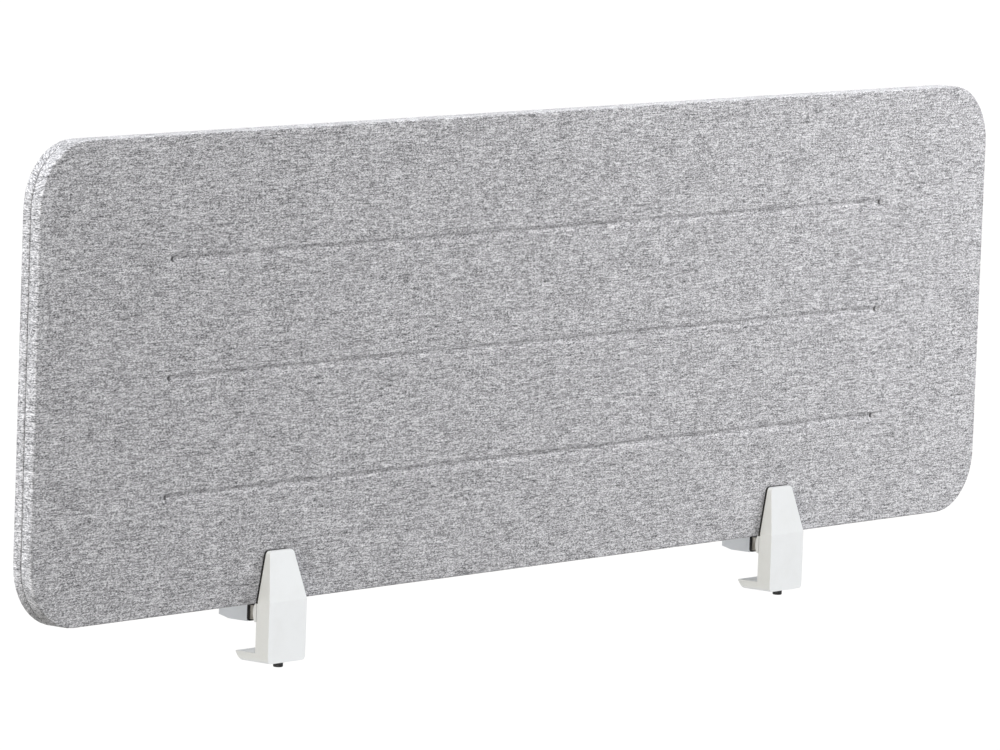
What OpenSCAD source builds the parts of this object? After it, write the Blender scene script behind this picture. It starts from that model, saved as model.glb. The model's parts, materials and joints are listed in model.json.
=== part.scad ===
// Desk privacy panel: two fabric-covered boards held by two clamps on a desktop's edge.
// Origin: the desktop's top edge at mid width. +Z up, +Y over the desktop, +X along the edge.

/* [Panel] */
// Width of the panel
panel_w = 1300; // [900:5:1800]
// Height of the panel
panel_h = 400; // [330:1:600]
// Radius of the panel's corners
corner_r = 55; // [35:1:90]
// Thickness of the front half, fabric included
front_half_t = 10.4; // [8:0.1:14]
// Thickness of the back half, fabric included
back_half_t = 8; // [6:0.1:12]
// Width of the groove between the halves
seam_gap = 1.6; // [1:0.1:3]
// Thickness of the fabric
fabric_t = 1; // [0.6:0.1:1.6]

/* [Seam frame] */
// Depth of the groove round the panel's edge
seam_inset = 3; // [2:0.5:6]
// Width of the frame that holds the halves apart
seam_frame_w = 30; // [24:1:50]

/* [Pressed grooves] */
// Number of pressed grooves on each face
groove_count = 3; // [1:1:3]
// Height of the lowest groove above the panel's lower edge
groove_first = 99; // [70:1:120]
// Distance between two grooves
groove_pitch = 99; // [70:1:100]
// Distance from a groove's end to the panel's side
groove_margin = 158; // [100:1:300]
// Width of a groove
groove_w = 5; // [3:0.5:8]
// Depth of a groove
groove_d = 1.2; // [0.6:0.1:2]
// Height of the thread tack at a groove's end
tack_h = 4; // [2:0.5:5]
// Width of the thread tack
tack_w = 1.6; // [1:0.1:3]
// Thickness of the thread tack
tack_t = 0.6; // [0.3:0.1:1]

/* [Dowels] */
// Diameter of a joining dowel
dowel_d = 8; // [6:0.5:10]
// Length of a joining dowel
dowel_len = 12; // [8:0.5:13]
// Distance from a dowel's axis to the panel's edge
dowel_inset = 18; // [12:1:25]
// Distance between two dowels
dowel_pitch = 240; // [120:10:260]
// Number of dowels along each long edge
dowel_count = 4; // [2:1:4]

/* [Clamp body] */
// Distance between the two clamps
clamp_pitch = 692; // [300:1:1000]
// Width of a clamp
clamp_w = 48; // [40:1:70]
// Height of the jaws above the panel's lower edge
jaw_h = 44; // [30:1:70]
// Width of the jaws at the top
jaw_top_w = 30; // [20:1:36]
// Thickness of the front jaw at the top
jaw_top_t = 4.2; // [3:0.1:8]
// Height of the crease above the panel's lower edge
crease_h = 2; // [0:0.5:8]
// Radius of the jaws' top corners
jaw_corner_r = 4; // [1:0.5:5]
// Depth of the upright wall in front of the desktop
wall_t = 14.5; // [13:0.1:22]
// How far the wall steps back above the desktop
wall_relief = 0.3; // [0.2:0.1:1]
// Radius of the wall's lower corners
base_corner_r = 4; // [1:0.5:6]
// Largest desktop that fits
desk_gap = 26; // [20:1:45]
// Reach of the shelf below the desktop
shelf_reach = 22; // [15:1:40]
// Thickness of the shelf
shelf_t = 8; // [6:0.5:14]
// Depth of the slant at the shelf's tip
tip_slant = 5.2; // [2:0.1:10]
// Flat left at the shelf's tip
tip_land = 0.8; // [0.4:0.1:2]
// Floor under the lift screw's channel
floor_t = 7; // [5:0.5:9]
// Travel of the clamp body up the slide block
lift_travel = 14; // [6:0.5:18]

/* [Slide block] */
// Width of the stem that runs in the channel
stem_w = 16; // [12:0.5:20]
// Depth of the stem
stem_depth = 10.4; // [9:0.1:12]
// How far the stem hangs below the desktop's level
stem_drop = 3.5; // [0:0.5:5]
// Width across the stem's wings
wing_w = 24; // [20:0.5:30]
// Thickness of the wings
wing_t = 4; // [3:0.1:5]
// Height of the wings
wing_h = 10; // [6:0.5:11]
// Thickness of the lips that hold the wings
lip_t = 3.8; // [2:0.1:5]
// Width of the shoulder between the jaws
shoulder_w = 45; // [34:0.5:46]
// Length of the shoulder
shoulder_len = 8.6; // [6:0.1:10]
// Width of the tongue
tongue_w = 30; // [20:0.5:34]
// Height of the tongue and shoulder
tongue_h = 12; // [10:0.5:12.5]
// Length of the tongue behind the shoulder
tongue_len = 21.4; // [18:0.1:24]
// Height of the tongue above the desktop
tongue_base = 2; // [1.5:0.1:3]
// Thickness of the nose ring at its fullest
nose_t = 4; // [2:0.1:5]
// Thickness of the nose ring at its upper and lower edges
nose_edge_t = 2; // [1:0.1:3]

/* [Rear jaw] */
// Height of the panel's lower edge above the desktop
foot_h = 16; // [15:0.5:22]
// Thickness of the rear jaw at its foot
rear_jaw_t = 20.2; // [19:0.1:28]
// Thickness of the rear jaw at the top
rear_jaw_top_t = 4.8; // [3:0.1:8]
// Length of the slant under the rear jaw's heel
heel_len = 11; // [4:0.5:14]
// Rise of the slant under the rear jaw's heel
heel_rise = 2.5; // [1:0.1:3]
// Thickness of the rear jaw's end frame
end_frame_t = 3.6; // [2:0.1:5]
// Thickness of the rubber gasket
gasket_t = 1.7; // [1:0.1:2.5]
// Radius of the gasket's corners
gasket_corner_r = 3; // [1:0.5:4]

/* [Pads] */
// Thickness of a jaw pad
pad_t = 1.5; // [1:0.1:3]
// How far a pad stands out round its jaw
pad_proud = 0.5; // [0:0.1:1.5]

/* [Screws] */
// Thread diameter of the screws
screw_d = 5; // [4:0.5:6]
// Diameter of the screw heads
head_d = 8.5; // [7:0.5:10]
// Height of the screw heads
head_h = 5; // [4:0.5:6]
// Width across flats of the hexagon socket
socket_af = 4; // [3:0.5:5]
// Depth of the hexagon socket
socket_depth = 2.5; // [1.5:0.5:3]
// Length of the lift screw's shank
lift_screw_len = 42; // [38:1:46]
// Length of the jaw screw's shank
jaw_screw_len = 20.5; // [16:0.5:24]
// Diameter of the retaining ring on the lift screw
ring_d = 9; // [8:0.5:11]
// Thickness of the retaining ring
ring_t = 0.7; // [0.5:0.1:1.2]
// Diameter of the washer under the jaw screw's head
washer_d = 9.6; // [9:0.1:12]
// Thickness of that washer
washer_t = 0.8; // [0.5:0.1:1.5]

/* [Clearances] */
// Gap round sliding metal parts
slide_gap = 0.2; // [0.1:0.05:0.3]
// Radial gap between a screw or dowel and its bore
bore_gap = 0.05; // [0.02:0.01:0.1]
// Radial gap round a head, ring or washer
head_gap = 0.4; // [0.2:0.1:0.6]
// Gap between the clamp's wall and the panel's front
face_gap = 0.3; // [0.2:0.05:0.5]
// Gap between the nose ring and what it slides on
nose_gap = 0.15; // [0.1:0.05:0.3]

/* [Hidden] */
$fn = 64;

// Extra length that lets a cut run cleanly past a face
cut = 1;

// Panel, front to back
panel_front = face_gap;
front_inner = panel_front + front_half_t;
back_inner = front_inner + seam_gap;
panel_back = back_inner + back_half_t;
seam_mid = (front_inner + back_inner) / 2;
panel_low = foot_h;
panel_mid_z = panel_low + panel_h / 2;
groove_len = panel_w - 2 * groove_margin;
groove_heights = [for (i = [0 : groove_count - 1]) panel_low + groove_first + i * groove_pitch];

// Clamp body, heights and depths
jaw_top = panel_low + jaw_h;
crease_z = panel_low + crease_h;
shelf_top = -desk_gap;
base_z = shelf_top - shelf_t;
channel_floor = base_z + floor_t;
jaw_back = panel_front - pad_t;
pad_low = panel_low + slide_gap;
taper_angle = atan((clamp_w - jaw_top_w) / 2 / (jaw_top - crease_z));

// Slide block
stem_low = -stem_drop;
stem_top = tongue_base + tongue_h;
stem_mid_y = -stem_depth / 2;
wing_back = -lip_t - slide_gap;
tongue_mid_z = tongue_base + tongue_h / 2;
tongue_end = shoulder_len + tongue_len;
entry_top = stem_top + wing_h + 2 * slide_gap;

// Rear jaw
gasket_front = shoulder_len + nose_gap;
end_frame_front = gasket_front + gasket_t;
foot_front = end_frame_front + end_frame_t;
rear_jaw_front = panel_back + pad_t;
rear_jaw_back = rear_jaw_front + rear_jaw_t;
tongue_pocket_end = tongue_end + 1;
washer_front = rear_jaw_back - head_h - washer_t - head_gap;
jaw_head_front = washer_front + washer_t;

// Points along an arc, from one angle to another
function arc(cx, cy, r, from, to, steps = 6) =
    [for (i = [0 : steps]) let (a = from + (to - from) * i / steps) [cx + r * cos(a), cy + r * sin(a)]];

// The same points mirrored left to right, in reverse order
function mirrored(points) = [for (i = [len(points) - 1 : -1 : 0]) [-points[i][0], points[i][1]]];

// Right half of a jaw's outline: straight up to the crease, then tapering to a round top corner
function jaw_half(low, corner, grow) =
    let (
        half = clamp_w / 2 + grow,
        top = jaw_top + grow,
        r = jaw_corner_r + grow,
        top_x = jaw_top_w / 2 + grow - r * (1 - sin(taper_angle)) / cos(taper_angle)
    )
    concat(
        corner > 0 ? arc(half - corner, low + corner, corner, -90, 0) : [[half, low]],
        [[half, max(crease_z, low)]],
        arc(top_x, top - r, r, taper_angle, 90)
    );

// Extrudes an X-Z drawing from depth y0 to depth y1
module along_y(y0, y1) {
    translate([0, y1, 0]) rotate([90, 0, 0]) linear_extrude(y1 - y0) children();
}

// Extrudes a Y-Z drawing to both sides of the clamp's middle
module along_x(width) {
    rotate([90, 0, 90]) linear_extrude(width, center = true) children();
}

// Round bar along Y
module bar_y(d, y0, y1, z) {
    translate([0, y1, z]) rotate([90, 0, 0]) cylinder(d = d, h = y1 - y0);
}

// Round bar along Z
module bar_z(d, z0, z1) {
    translate([0, 0, z0]) cylinder(d = d, h = z1 - z0);
}

// Rectangle with round corners, centred on the origin
module round_rect(w, h, r) {
    square([w - 2 * r, h], center = true);
    square([w, h - 2 * r], center = true);
    for (x = [-1, 1], y = [-1, 1]) translate([x * (w / 2 - r), y * (h / 2 - r)]) circle(r);
}

// Panel outline, drawn in by an inset
module panel_outline(inset) {
    translate([0, panel_mid_z]) round_rect(panel_w - 2 * inset, panel_h - 2 * inset, corner_r - inset);
}

// Straight slot with round ends, centred on the origin
module slot_shape(len, w) {
    square([len - w, w], center = true);
    for (x = [-1, 1]) translate([x * (len - w) / 2, 0]) circle(d = w);
}

// One slot for each pressed groove
module groove_strips(grow) {
    for (z = groove_heights) translate([0, z]) slot_shape(groove_len + 2 * grow, groove_w + 2 * grow);
}

// Axes of the joining dowels
module at_dowels() {
    for (i = [0 : dowel_count - 1], side = [-1, 1]) {
        x = (i - (dowel_count - 1) / 2) * dowel_pitch;
        translate([x, 0, panel_mid_z + side * (panel_h / 2 - dowel_inset)]) children();
    }
}

// Bores for the joining dowels
module dowel_holes() {
    at_dowels() bar_y(dowel_d + 2 * bore_gap, seam_mid - dowel_len / 2, seam_mid + dowel_len / 2, 0);
}

// A jaw's outline as a drawing
module jaw_outline(low, corner = 0, grow = 0) {
    right = jaw_half(low, corner, grow);
    polygon(concat(right, mirrored(right)));
}

// Window that the tongue slides in, from depth y0 to y1
module tongue_window(y0, y1, w) {
    translate([-w / 2 - slide_gap, y0, tongue_base - slide_gap])
        cube([w + 2 * slide_gap, y1 - y0, tongue_h + 2 * slide_gap]);
}

// Six-sided hole for a hexagon key
module hex_socket(depth) {
    cylinder(d = socket_af / cos(30), h = depth, $fn = 6);
}

// Socket-head screw with its head's seat at the origin and its shank along +Z
module socket_screw(shank) {
    difference() {
        union() {
            bar_z(head_d, -head_h, 0);
            bar_z(screw_d, 0, shank);
        }
        translate([0, 0, -head_h - cut]) hex_socket(socket_depth + cut);
    }
}

// ---- Panel ----

module front_board() {
    color("tan") difference() {
        along_y(panel_front + fabric_t, front_inner) panel_outline(fabric_t);
        along_y(panel_front + fabric_t - cut, panel_front + fabric_t + groove_d) groove_strips(fabric_t);
        dowel_holes();
    }
}

module back_board() {
    color("tan") difference() {
        along_y(back_inner, panel_back - fabric_t) panel_outline(fabric_t);
        along_y(panel_back - fabric_t - groove_d, panel_back - fabric_t + cut) groove_strips(fabric_t);
        dowel_holes();
    }
}

module front_cover() {
    color("silver") difference() {
        union() {
            difference() {
                along_y(panel_front, front_inner) panel_outline(0);
                along_y(panel_front + fabric_t, front_inner + cut) panel_outline(fabric_t);
            }
            along_y(panel_front, panel_front + fabric_t + groove_d) groove_strips(fabric_t);
        }
        along_y(panel_front - cut, panel_front + groove_d) groove_strips(0);
    }
}

module back_cover() {
    color("silver") difference() {
        union() {
            difference() {
                along_y(back_inner, panel_back) panel_outline(0);
                along_y(back_inner - cut, panel_back - fabric_t) panel_outline(fabric_t);
            }
            along_y(panel_back - fabric_t - groove_d, panel_back) groove_strips(fabric_t);
        }
        along_y(panel_back - groove_d, panel_back + cut) groove_strips(0);
    }
}

module seam_frame() {
    color("dimgray") difference() {
        along_y(front_inner, back_inner) difference() {
            panel_outline(seam_inset);
            panel_outline(seam_inset + seam_frame_w);
        }
        dowel_holes();
    }
}

module joining_dowels() {
    color("burlywood") at_dowels() bar_y(dowel_d, seam_mid - dowel_len / 2, seam_mid + dowel_len / 2, 0);
}

// Thread tacks lying in the ends of the grooves, from depth y0 to y1
module tacks(y0, y1) {
    for (z = groove_heights, side = [-1, 1])
        translate([side * (groove_len / 2 - groove_w), (y0 + y1) / 2, z])
            cube([tack_w, y1 - y0, tack_h], center = true);
}

module front_tacks() {
    color("darkslategray") tacks(panel_front + groove_d - tack_t, panel_front + groove_d);
}

module back_tacks() {
    color("darkslategray") tacks(panel_back - groove_d, panel_back - groove_d + tack_t);
}

// ---- Clamp, drawn at the middle of the panel ----

// Wall, shelf and front jaw seen from the side
module body_profile() {
    polygon([
        [0, shelf_top],
        [shelf_reach, shelf_top],
        [shelf_reach, shelf_top - tip_land],
        [shelf_reach - tip_slant, base_z],
        [-wall_t, base_z],
        [-wall_t, crease_z],
        [jaw_back - jaw_top_t, jaw_top],
        [jaw_back, jaw_top],
        [jaw_back, panel_low],
        [-wall_relief, panel_low],
        [-wall_relief, 0],
        [0, 0]
    ]);
}

// Channel for the slide block: stem slot, wing slots and the opening they enter by
module body_channel() {
    translate([-stem_w / 2 - slide_gap, -stem_depth - slide_gap, channel_floor])
        cube([stem_w + 2 * slide_gap, stem_depth + slide_gap + cut, entry_top - channel_floor]);
    translate([-wing_w / 2 - slide_gap, wing_back - wing_t - slide_gap, channel_floor])
        cube([wing_w + 2 * slide_gap, wing_t + 2 * slide_gap, entry_top - channel_floor]);
    translate([-wing_w / 2 - slide_gap, wing_back - slide_gap, stem_top + slide_gap])
        cube([wing_w + 2 * slide_gap, lip_t + 2 * cut, wing_h + slide_gap]);
}

module clamp_body() {
    color("white") difference() {
        intersection() {
            along_x(clamp_w) body_profile();
            along_y(-wall_t, shelf_reach) jaw_outline(base_z, base_corner_r);
        }
        body_channel();
        translate([0, stem_mid_y, 0]) bar_z(screw_d + 2 * bore_gap, base_z - cut, channel_floor + cut);
    }
}

module front_pad() {
    color("black") along_y(jaw_back, panel_front) jaw_outline(pad_low, 0, pad_proud);
}

module lift_screw() {
    color("black") translate([0, stem_mid_y, base_z]) socket_screw(lift_screw_len);
}

module retaining_ring() {
    color("silver") translate([0, stem_mid_y, channel_floor]) difference() {
        bar_z(ring_d, 0, ring_t);
        bar_z(screw_d, -cut, ring_t + cut);
    }
}

module slide_block() {
    color("gray") difference() {
        union() {
            translate([-stem_w / 2, -stem_depth, stem_low]) cube([stem_w, stem_depth, stem_top - stem_low]);
            translate([-stem_w / 2, -stem_depth, tongue_base]) cube([stem_w, stem_depth + shoulder_len, tongue_h]);
            translate([-wing_w / 2, wing_back - wing_t, stem_top - wing_h]) cube([wing_w, wing_t, wing_h]);
            translate([-shoulder_w / 2, nose_gap, tongue_base]) cube([shoulder_w, shoulder_len - nose_gap, tongue_h]);
            translate([-tongue_w / 2, shoulder_len - cut, tongue_base]) cube([tongue_w, tongue_len + cut, tongue_h]);
        }
        translate([0, stem_mid_y, 0]) bar_z(screw_d + 2 * bore_gap, stem_low - cut, stem_top + cut);
        bar_y(screw_d + 2 * bore_gap, shoulder_len, tongue_end + cut, tongue_mid_z);
    }
}

// Ring with a bulging back that covers the gap between the shoulder and the wall
module nose_ring() {
    bulge = nose_t - nose_edge_t;
    chord = panel_low - nose_gap;
    bulge_r = (chord * chord / 4 + bulge * bulge) / (2 * bulge);
    half_angle = asin(chord / 2 / bulge_r);
    color("white") difference() {
        along_x(clamp_w) polygon(concat(
            [[nose_gap, panel_low], [nose_gap, nose_gap]],
            arc(nose_t - bulge_r, (panel_low + nose_gap) / 2, bulge_r, -half_angle, half_angle, 10)
        ));
        translate([-shoulder_w / 2 - bore_gap, nose_gap - cut, tongue_base - bore_gap])
            cube([shoulder_w + 2 * bore_gap, nose_t + 2 * cut, tongue_h + 2 * bore_gap]);
    }
}

// Rear jaw seen from the side
module rear_profile() {
    polygon([
        [foot_front, 0],
        [rear_jaw_back - heel_len, 0],
        [rear_jaw_back, heel_rise],
        [rear_jaw_back, crease_z],
        [rear_jaw_front + rear_jaw_top_t, jaw_top],
        [rear_jaw_front, jaw_top],
        [rear_jaw_front, panel_low],
        [foot_front, panel_low]
    ]);
}

module rear_jaw() {
    color("white") difference() {
        intersection() {
            along_x(clamp_w) rear_profile();
            along_y(foot_front, rear_jaw_back) jaw_outline(0);
        }
        tongue_window(foot_front - cut, tongue_pocket_end, tongue_w);
        bar_y(screw_d + 2 * bore_gap, foot_front, rear_jaw_back + cut, tongue_mid_z);
        bar_y(washer_d + 2 * head_gap, washer_front, rear_jaw_back + cut, tongue_mid_z);
    }
}

module end_frame() {
    color("white") difference() {
        along_x(clamp_w) translate([end_frame_front, 0]) square([end_frame_t, panel_low]);
        tongue_window(end_frame_front - cut, foot_front + cut, tongue_w);
    }
}

module gasket() {
    color("black") difference() {
        along_y(gasket_front, end_frame_front)
            translate([0, panel_low / 2]) round_rect(clamp_w, panel_low - 2 * nose_gap, gasket_corner_r);
        tongue_window(gasket_front - cut, end_frame_front + cut, tongue_w);
    }
}

module rear_pad() {
    color("black") along_y(panel_back, rear_jaw_front) jaw_outline(pad_low, 0, pad_proud);
}

module jaw_screw() {
    color("black") translate([0, jaw_head_front, tongue_mid_z]) rotate([90, 0, 0]) socket_screw(jaw_screw_len);
}

module jaw_washer() {
    color("silver") difference() {
        bar_y(washer_d, washer_front, jaw_head_front, tongue_mid_z);
        bar_y(screw_d + 2 * bore_gap, washer_front - cut, jaw_head_front + cut, tongue_mid_z);
    }
}

module at_left() {
    translate([-clamp_pitch / 2, 0, 0]) children();
}

module at_right() {
    translate([clamp_pitch / 2, 0, 0]) children();
}

front_board();
back_board();
front_cover();
back_cover();
seam_frame();
joining_dowels();
front_tacks();
back_tacks();

at_left() clamp_body();  // left_clamp_body
at_left() front_pad();  // left_front_pad
at_left() lift_screw();  // left_lift_screw
at_left() retaining_ring();  // left_retaining_ring
at_left() slide_block();  // left_slide_block
at_left() nose_ring();  // left_nose_ring
at_left() rear_jaw();  // left_rear_jaw
at_left() end_frame();  // left_end_frame
at_left() gasket();  // left_gasket
at_left() rear_pad();  // left_rear_pad
at_left() jaw_screw();  // left_jaw_screw
at_left() jaw_washer();  // left_jaw_washer

at_right() clamp_body();  // right_clamp_body
at_right() front_pad();  // right_front_pad
at_right() lift_screw();  // right_lift_screw
at_right() retaining_ring();  // right_retaining_ring
at_right() slide_block();  // right_slide_block
at_right() nose_ring();  // right_nose_ring
at_right() rear_jaw();  // right_rear_jaw
at_right() end_frame();  // right_end_frame
at_right() gasket();  // right_gasket
at_right() rear_pad();  // right_rear_pad
at_right() jaw_screw();  // right_jaw_screw
at_right() jaw_washer();  // right_jaw_washer
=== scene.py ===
"""Looks of a desk privacy panel: two fabric-covered halves held at a desktop's edge by two clamps.

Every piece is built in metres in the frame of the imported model, whose origin is the desktop's top edge at the
middle of the panel: +X runs along the edge, +Y over the desktop and +Z up.
"""

import json
import logging
import math
from collections.abc import Callable
from dataclasses import dataclass
from enum import Enum
from functools import partial

import bmesh
import bpy
import numpy as np
from mathutils import Matrix, Vector

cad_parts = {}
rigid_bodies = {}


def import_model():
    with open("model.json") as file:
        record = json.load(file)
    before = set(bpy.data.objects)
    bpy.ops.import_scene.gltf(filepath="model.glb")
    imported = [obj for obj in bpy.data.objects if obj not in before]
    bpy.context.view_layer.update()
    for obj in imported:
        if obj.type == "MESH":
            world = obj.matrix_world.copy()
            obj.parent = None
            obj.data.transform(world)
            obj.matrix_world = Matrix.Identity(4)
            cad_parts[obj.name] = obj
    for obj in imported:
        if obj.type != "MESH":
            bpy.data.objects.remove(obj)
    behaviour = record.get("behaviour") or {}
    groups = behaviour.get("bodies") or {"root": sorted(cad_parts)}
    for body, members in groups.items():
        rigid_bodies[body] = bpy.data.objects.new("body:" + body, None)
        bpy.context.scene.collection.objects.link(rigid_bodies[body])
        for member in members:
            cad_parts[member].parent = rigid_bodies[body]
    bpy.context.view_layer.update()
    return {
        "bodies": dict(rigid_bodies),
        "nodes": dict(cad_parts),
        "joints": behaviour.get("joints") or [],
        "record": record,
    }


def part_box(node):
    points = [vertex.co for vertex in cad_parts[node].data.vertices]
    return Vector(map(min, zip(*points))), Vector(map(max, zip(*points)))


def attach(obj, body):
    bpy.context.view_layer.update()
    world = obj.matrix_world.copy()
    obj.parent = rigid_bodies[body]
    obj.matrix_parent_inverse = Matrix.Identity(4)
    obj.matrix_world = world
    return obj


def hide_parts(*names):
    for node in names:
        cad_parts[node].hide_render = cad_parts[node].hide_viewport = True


MM = 0.001
LOG = logging.getLogger("privacy_panel")

Colour = tuple[float, float, float]
Place = tuple[float, float, float]
Socket = bpy.types.NodeSocket
RadiusRule = Callable[[np.ndarray, np.ndarray, np.ndarray, np.ndarray], np.ndarray]


class Face(Enum):
    """Which side of the panel a half lies on; the value is the sign of Y from its face into the panel."""

    FRONT = 1.0
    BACK = -1.0


class Hand(Enum):
    """Which of the two clamps a piece belongs to; the value starts the names of its nodes."""

    LEFT = "left"
    RIGHT = "right"


def new_object(name: str, data: bpy.types.ID) -> bpy.types.Object:
    """Makes an object and links it to the scene.

    Args:
        name: The object's name.
        data: Its mesh, lamp or camera.

    Returns:
        The new object, at the origin.
    """
    made = bpy.data.objects.new(name, data)
    bpy.context.scene.collection.objects.link(made)
    return made


def raised_cosine(share: np.ndarray) -> np.ndarray:
    """Returns half of one plus the cosine of share times pi: 1 where share is 0, falling softly to 0 at 1."""
    return 0.5 * (1 + np.cos(math.pi * share))


def triangle_wave(turns: np.ndarray) -> np.ndarray:
    """Returns a wave that falls evenly from 1 to 0 and rises to 1 again in each turn."""
    return np.abs(turns % 1 - 0.5) * 2


# ---------------------------------------------------------------- surfaces


@dataclass
class Surface:
    """Points, quads and texture places worked out as whole arrays."""

    points: np.ndarray
    quads: np.ndarray
    uv: np.ndarray

    @staticmethod
    def from_grid(grid: np.ndarray, uv: np.ndarray, wrap: bool = False) -> "Surface":
        """Turns a grid of points into quads, row by row.

        Args:
            grid: Points, of shape (rows, columns, 3).
            uv: Texture places, of shape (rows, columns, 2).
            wrap: Whether the last column joins the first.

        Returns:
            The surface, whose quads run along the rows and then the columns.
        """
        rows, columns = grid.shape[:2]
        index = np.arange(rows * columns).reshape(rows, columns)
        across = np.roll(index, -1, axis=1)
        a, b, c, d = index[:-1], across[:-1], across[1:], index[1:]
        quads = np.stack([a, b, c, d], axis=-1)
        if not wrap:
            quads = quads[:, :-1]
        return Surface(grid.reshape(-1, 3), quads.reshape(-1, 4), uv.reshape(-1, 2))

    def joined(self, other: "Surface") -> "Surface":
        """Returns this surface and another as one."""
        return Surface(
            np.concatenate([self.points, other.points]),
            np.concatenate([self.quads, other.quads + len(self.points)]),
            np.concatenate([self.uv, other.uv]),
        )

    def flipped(self) -> "Surface":
        """Returns the surface with its faces turned over."""
        return Surface(self.points, self.quads[:, ::-1], self.uv)

    def to_object(self, name: str, merge: float = 0.0) -> bpy.types.Object:
        """Makes a smooth-shaded mesh object of the surface.

        Args:
            name: The object's name.
            merge: Points nearer than this are merged, in metres.

        Returns:
            The new object, linked to the scene, at the origin.
        """
        mesh = bpy.data.meshes.new(name)
        mesh.from_pydata(self.points.tolist(), [], self.quads.tolist())
        layer = mesh.uv_layers.new(name="weave")
        layer.data.foreach_set("uv", self.uv[self.quads.ravel()].astype(np.float32).ravel())
        if merge > 0:
            work = bmesh.new()
            work.from_mesh(mesh)
            bmesh.ops.remove_doubles(work, verts=work.verts, dist=merge)
            bmesh.ops.dissolve_degenerate(work, edges=work.edges, dist=merge)
            work.to_mesh(mesh)
            work.free()
        mesh.polygons.foreach_set("use_smooth", np.ones(len(mesh.polygons), dtype=bool))
        mesh.update()
        return new_object(name, mesh)


def lathe(profile: np.ndarray, steps: int, radius_at: RadiusRule | None = None) -> Surface:
    """Turns a profile round the Z axis.

    A point at height z and angle a lies at (r cos a, r sin a, z), where r is the profile's radius, changed by
    radius_at where that is given.

    Args:
        profile: Radii and heights, of shape (rows, 2), from the lower pole to the upper one.
        steps: How many points go round.
        radius_at: Gives the radius to use from the radius, height, angle and row number.

    Returns:
        The closed surface, facing outwards.
    """
    angle = np.linspace(0, 2 * math.pi, steps, endpoint=False)[None, :]
    radius = np.broadcast_to(profile[:, :1], (len(profile), steps))
    height = np.broadcast_to(profile[:, 1:], (len(profile), steps))
    if radius_at is not None:
        rows = np.arange(len(profile))[:, None]
        radius = radius_at(radius, height, angle, rows)
    grid = np.stack([radius * np.cos(angle), radius * np.sin(angle), height], axis=-1)
    metres_per_radian = 0.01
    uv = np.stack([np.broadcast_to(angle, radius.shape) * metres_per_radian, height], axis=-1)
    return Surface.from_grid(grid, uv, wrap=True)


def tube(path: np.ndarray, radius: float, sides: int, away: Vector) -> Surface:
    """Sweeps a round thread along a path.

    Each ring is a circle in the plane of two directions square to the path: its tangent crossed with away,
    and that direction crossed with the tangent again. The ends are drawn in to a point.

    Args:
        path: Points of the thread's middle line, of shape (count, 3).
        radius: The thread's radius in metres.
        sides: How many points go round.
        away: A direction that the path never runs along.

    Returns:
        The closed surface.
    """
    tangent = np.gradient(path, axis=0)
    tangent /= np.linalg.norm(tangent, axis=1, keepdims=True)
    side = np.cross(tangent, np.array(away))
    side /= np.linalg.norm(side, axis=1, keepdims=True)
    rise = np.cross(side, tangent)
    angle = np.linspace(0, 2 * math.pi, sides, endpoint=False)
    reach = np.full(len(path), radius)
    tip_share = 0.02
    reach[[0, -1]] = radius * tip_share
    ring = np.cos(angle)[None, :, None] * side[:, None] + np.sin(angle)[None, :, None] * rise[:, None]
    grid = path[:, None] + reach[:, None, None] * ring
    along = np.broadcast_to(np.arange(len(path))[:, None] * radius, grid.shape[:2])
    uv = np.stack([along, np.broadcast_to(angle[None] * radius, grid.shape[:2])], axis=-1)
    return Surface.from_grid(grid, uv, wrap=True)


def graded(
    low: float, high: float, coarse: float, marks: list[float], reach: float, fine: float
) -> np.ndarray:
    """Places along a line, evenly spaced but closer together round some marks.

    Args:
        low: The first place.
        high: The last place.
        coarse: The usual spacing.
        marks: Places with finer spacing round them.
        reach: How far the finer spacing goes on each side of a mark.
        fine: The finer spacing.

    Returns:
        The sorted places.
    """
    base = np.linspace(low, high, int(round((high - low) / coarse)) + 1)
    near = [np.arange(mark - reach, mark + reach + fine / 2, fine) for mark in marks]
    for mark in marks:
        base = base[(np.abs(base - mark) > reach + fine) | (base == low) | (base == high)]
    return np.unique(np.concatenate([base, *near]))


# ---------------------------------------------------------------- finishes


@dataclass(frozen=True)
class Grain:
    """How fine a noise is: its waves in each unit of the place, its finer layers and their strength."""

    scale: float
    detail: float = 2.0
    roughness: float = 0.5


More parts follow.
